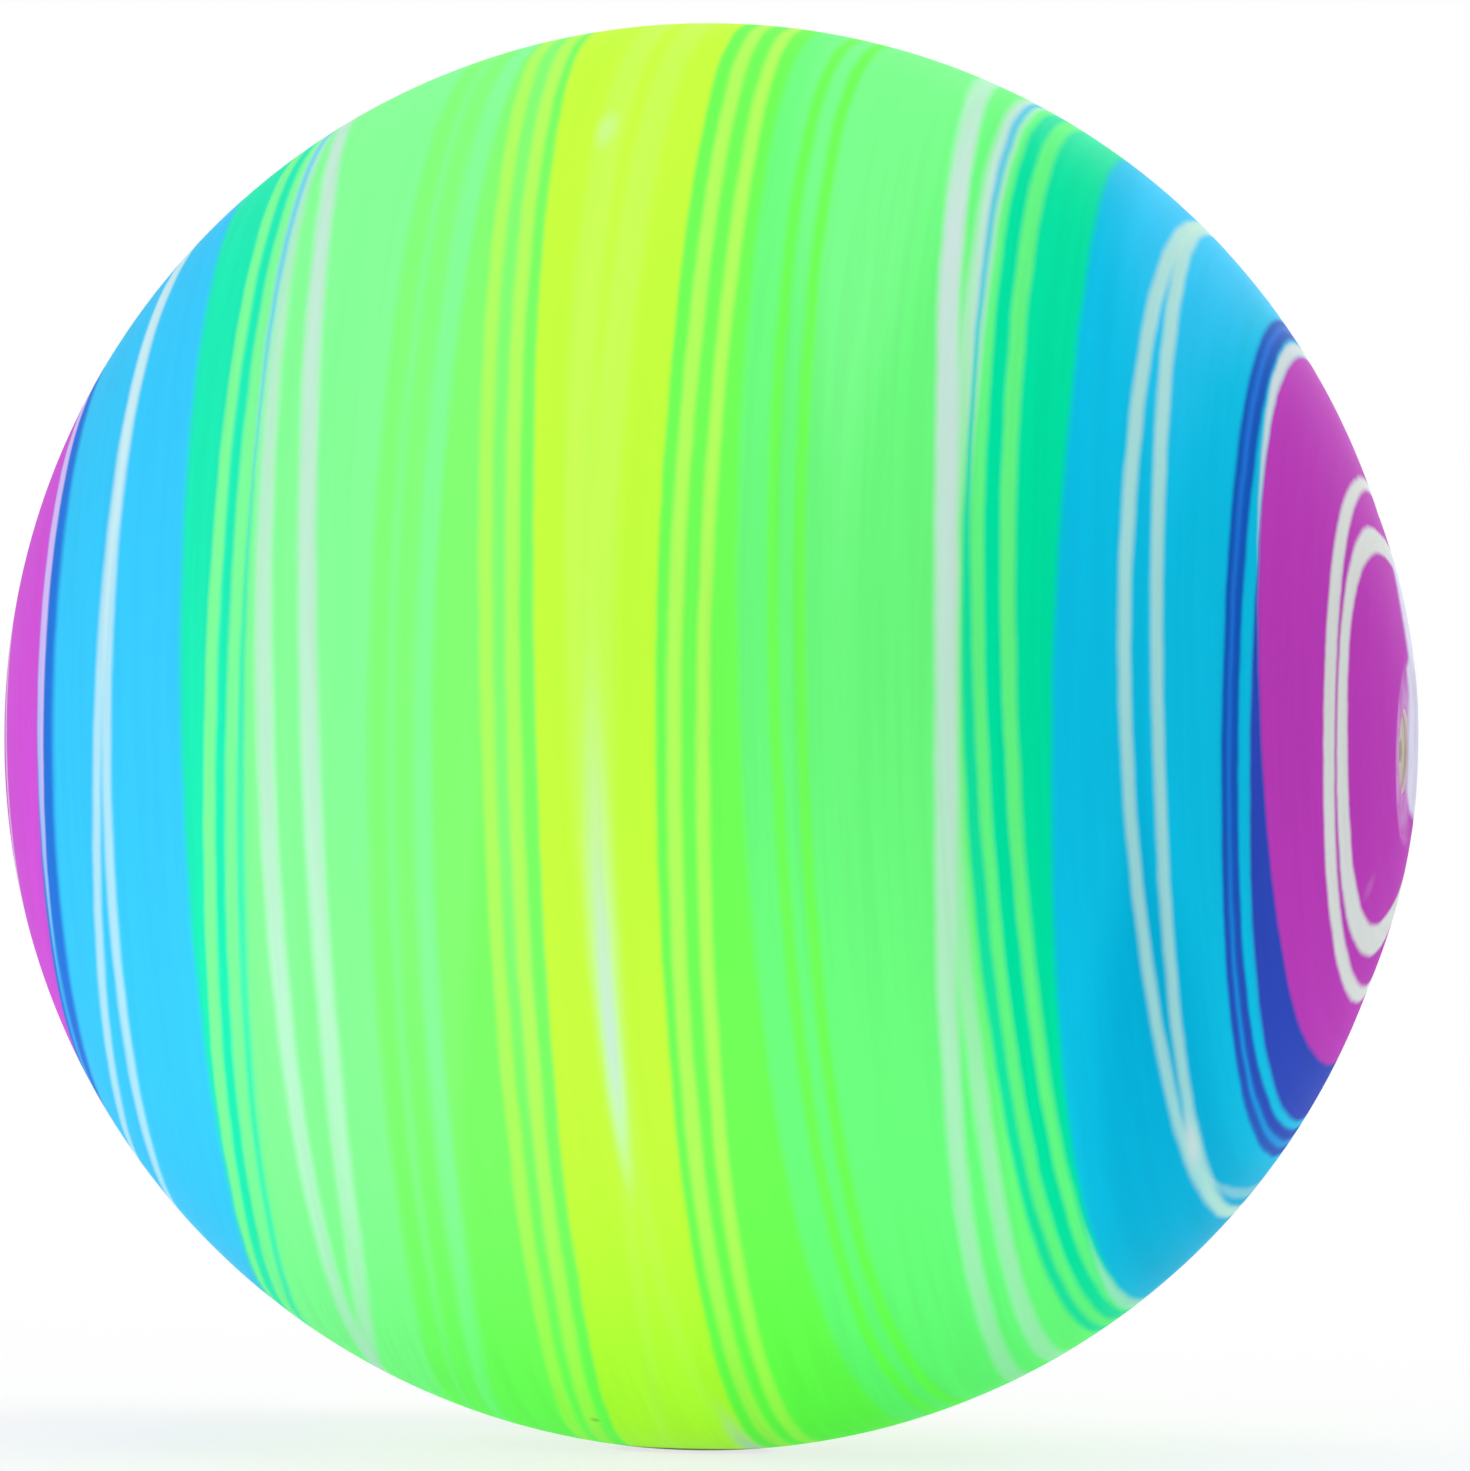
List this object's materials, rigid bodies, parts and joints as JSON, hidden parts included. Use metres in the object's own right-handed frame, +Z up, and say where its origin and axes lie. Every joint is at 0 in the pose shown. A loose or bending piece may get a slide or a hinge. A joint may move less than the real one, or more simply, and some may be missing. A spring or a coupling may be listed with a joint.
{
  "type": "inflatable play ball",
  "caption": "Hollow inflated vinyl play ball, slightly flattened along its valve axis, with spun neon stripes and a push-in needle valve in a flat collar at one pole.",
  "frame": {"origin": "centre of the ball", "axes": "+X along the valve axis, out through the valve; +Z up; the ball is seen from -Y in the picture"},
  "size_m": [0.2166, 0.2199, 0.22],
  "materials": {
    "striped_vinyl": "satin",
    "valve_vinyl": "satin",
    "valve_rubber": "matte"
  },
  "bodies": {
    "ball": {"ball_skin": "striped_vinyl", "valve_seat": "valve_vinyl"},
    "core": {"valve_core": "valve_rubber"}
  },
  "joints": [
    {"name": "core_pull", "type": "slide", "parent": "ball", "child": "core", "axis": [1, 0, 0], "range_m": [0, 0.02]}
  ]
}
